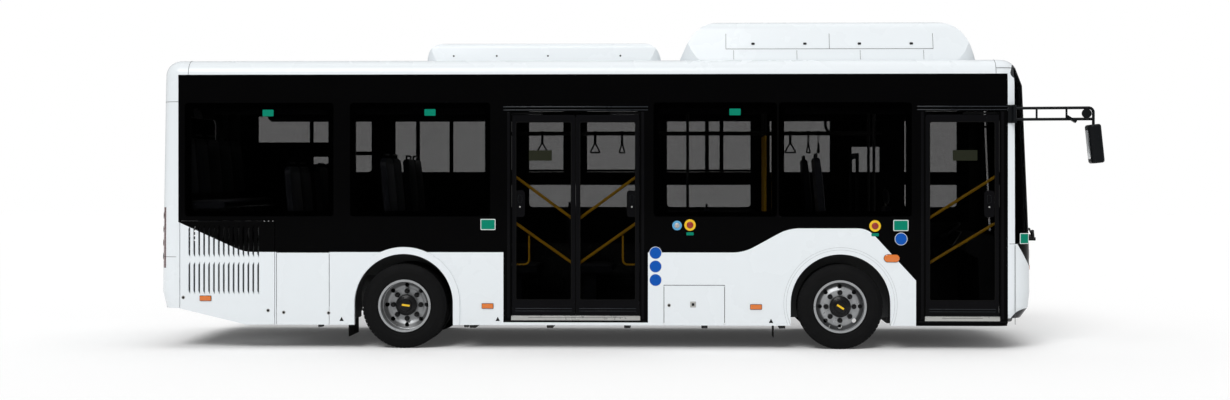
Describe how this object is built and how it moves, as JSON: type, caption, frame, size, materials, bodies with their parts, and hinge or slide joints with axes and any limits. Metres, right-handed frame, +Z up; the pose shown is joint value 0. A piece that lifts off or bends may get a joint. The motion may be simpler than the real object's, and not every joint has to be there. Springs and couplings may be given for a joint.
{
  "type": "city bus",
  "caption": "Low-entry city bus with glazed inward-gliding doors, roof-mounted gas tank fairing and air conditioner, steered front wheels and opening flaps.",
  "frame": {"origin": "on the ground, under the middle of the length from the rear face to the mirror heads", "axes": "+X forward along the bus, +Z up, doors on the -Y side"},
  "size_m": [9.322, 2.93, 3.25],
  "materials": {
    "body_white": "gloss white paint",
    "body_black": "gloss black paint and glass border",
    "glass": "dark tinted glass",
    "door_black": "satin black paint",
    "lamp_clear": "clear lamp lens",
    "lamp_red": "red lamp lens",
    "floor_grey": "speckled grey vinyl over board",
    "chassis_black": "matt black chassis paint",
    "engine_grey": "painted cast iron",
    "tyre": "black rubber",
    "rim_silver": "silver wheel paint",
    "seat_plastic": "blue moulded plastic",
    "seat_fabric": "dark grey fabric",
    "dash_plastic": "grained black plastic",
    "rail_yellow": "yellow powder coat",
    "mirror_black": "satin black plastic",
    "rubber_black": "black rubber"
  },
  "bodies": {
    "body": {"air_conditioner": "body_white", "dashboard": "dash_plastic", "driver_seat": "seat_fabric", "engine": "engine_grey", "floor": "floor_grey", "front_axle": "chassis_black", "front_bumper": "body_white", "front_cap": "body_white", "gas_fairing": "body_white", "grab_rails": "rail_yellow", "head_lamps": "lamp_clear", "mirror_bases": "mirror_black", "mud_flaps": "rubber_black", "passenger_seats": "seat_plastic", "rear_axle": "chassis_black", "rear_bumper": "body_white", "rear_cap": "body_white", "rear_glass": "glass", "roof": "body_white", "side_glass_left": "glass", "side_glass_right": "glass", "side_left_lower": "body_white", "side_left_upper": "body_black", "side_right_lower": "body_white", "side_right_upper": "body_black", "suspension": "chassis_black", "tail_lamps": "lamp_red", "underframe": "chassis_black", "wheel_boxes": "floor_grey", "windscreen": "glass", "wipers": "rubber_black"},
    "knuckle_left": {"knuckle_left": "chassis_black"},
    "knuckle_right": {"knuckle_right": "chassis_black"},
    "front_wheel_left": {"front_tyre_left": "tyre", "front_wheel_left": "rim_silver"},
    "front_wheel_right": {"front_tyre_right": "tyre", "front_wheel_right": "rim_silver"},
    "rear_wheels_left": {"rear_tyres_left": "tyre", "rear_wheels_left": "rim_silver"},
    "rear_wheels_right": {"rear_tyres_right": "tyre", "rear_wheels_right": "rim_silver"},
    "engine_door": {"engine_door": "body_white"},
    "mirror_left": {"mirror_left": "mirror_black"},
    "mirror_right": {"mirror_right": "mirror_black"},
    "exit_door_rear_post": {"exit_door_rear_post": "door_black"},
    "exit_door_rear_leaf": {"exit_door_rear_leaf": "door_black", "exit_door_rear_glass": "glass", "exit_door_rear_rails": "rail_yellow"},
    "exit_door_front_post": {"exit_door_front_post": "door_black"},
    "exit_door_front_leaf": {"exit_door_front_leaf": "door_black", "exit_door_front_glass": "glass", "exit_door_front_rails": "rail_yellow"},
    "entry_door_post": {"entry_door_post": "door_black"},
    "entry_door_leaf": {"entry_door_leaf": "door_black", "entry_door_glass": "glass", "entry_door_rails": "rail_yellow"},
    "grille_flap_right": {"grille_flap_right": "body_white"},
    "grille_flap_left": {"grille_flap_left": "body_white"},
    "service_flap_right": {"service_flap_right": "body_white"},
    "filler_flap_right": {"filler_flap_right": "body_white"}
  },
  "joints": [
    {"name": "steer_left", "type": "hinge", "parent": "body", "child": "knuckle_left", "pos_m": [2.139, 0.9, 0.419], "axis": [0, 0, 1], "range_deg": [-40, 40]},
    {"name": "front_wheel_left_spin", "type": "hinge", "parent": "knuckle_left", "child": "front_wheel_left", "pos_m": [2.139, 1.0575, 0.419], "axis": [0, 1, 0], "continuous": true},
    {"name": "rear_wheels_left_spin", "type": "hinge", "parent": "body", "child": "rear_wheels_left", "pos_m": [-2.161, 1.0575, 0.419], "axis": [0, 1, 0], "continuous": true},
    {"name": "steer_right", "type": "hinge", "parent": "body", "child": "knuckle_right", "pos_m": [2.139, -0.9, 0.419], "axis": [0, 0, 1], "range_deg": [-40, 40]},
    {"name": "front_wheel_right_spin", "type": "hinge", "parent": "knuckle_right", "child": "front_wheel_right", "pos_m": [2.139, -1.0575, 0.419], "axis": [0, 1, 0], "continuous": true},
    {"name": "rear_wheels_right_spin", "type": "hinge", "parent": "body", "child": "rear_wheels_right", "pos_m": [-2.161, -1.0575, 0.419], "axis": [0, 1, 0], "continuous": true},
    {"name": "exit_door_rear_post_turn", "type": "hinge", "parent": "body", "child": "exit_door_rear_post", "pos_m": [-1.128, -1.13, 1.3], "axis": [0, 0, 1], "range_deg": [0, 80]},
    {"name": "exit_door_rear_leaf_turn", "type": "hinge", "parent": "exit_door_rear_post", "child": "exit_door_rear_leaf", "pos_m": [-0.807, -1.13, 1.3], "axis": [0, 0, 1], "range_deg": [-160, 0]},
    {"name": "exit_door_front_post_turn", "type": "hinge", "parent": "body", "child": "exit_door_front_post", "pos_m": [0.204, -1.13, 1.3], "axis": [0, 0, -1], "range_deg": [0, 80]},
    {"name": "exit_door_front_leaf_turn", "type": "hinge", "parent": "exit_door_front_post", "child": "exit_door_front_leaf", "pos_m": [-0.117, -1.13, 1.3], "axis": [0, 0, -1], "range_deg": [-160, 0]},
    {"name": "entry_door_post_turn", "type": "hinge", "parent": "body", "child": "entry_door_post", "pos_m": [3.725, -1.13, 1.3], "axis": [0, 0, -1], "range_deg": [0, 80]},
    {"name": "entry_door_leaf_turn", "type": "hinge", "parent": "entry_door_post", "child": "entry_door_leaf", "pos_m": [3.3585, -1.13, 1.3], "axis": [0, 0, -1], "range_deg": [-160, 0]},
    {"name": "grille_flap_right_lift", "type": "hinge", "parent": "body", "child": "grille_flap_right", "pos_m": [-3.9, -1.2037, 1.25], "axis": [-1, 0, 0], "range_deg": [0, 85]},
    {"name": "grille_flap_left_lift", "type": "hinge", "parent": "body", "child": "grille_flap_left", "pos_m": [-3.9, 1.2037, 1.25], "axis": [1, 0, 0], "range_deg": [0, 85]},
    {"name": "service_flap_right_lift", "type": "hinge", "parent": "body", "child": "service_flap_right", "pos_m": [-3.17, -1.2037, 0.94], "axis": [-1, 0, 0], "range_deg": [0, 85]},
    {"name": "filler_flap_right_lift", "type": "hinge", "parent": "body", "child": "filler_flap_right", "pos_m": [0.706, -1.2037, 0.621], "axis": [-1, 0, 0], "range_deg": [0, 85]},
    {"name": "engine_door_lift", "type": "hinge", "parent": "body", "child": "engine_door", "pos_m": [-4.64087, 0, 1.452], "axis": [0, 1, 0], "range_deg": [0, 80]},
    {"name": "mirror_right_fold", "type": "hinge", "parent": "body", "child": "mirror_right", "pos_m": [3.832, -1.244, 2.31], "axis": [0, 0, 1], "range_deg": [-60, 8]},
    {"name": "mirror_left_fold", "type": "hinge", "parent": "body", "child": "mirror_left", "pos_m": [3.832, 1.244, 2.31], "axis": [0, 0, 1], "range_deg": [-8, 60]}
  ],
  "couplings": [
    {"joint": "steer_right", "follows": "steer_left", "ratio": 1},
    {"joint": "exit_door_rear_leaf_turn", "follows": "exit_door_rear_post_turn", "ratio": -2},
    {"joint": "exit_door_front_leaf_turn", "follows": "exit_door_front_post_turn", "ratio": -2},
    {"joint": "entry_door_leaf_turn", "follows": "entry_door_post_turn", "ratio": -2}
  ]
}
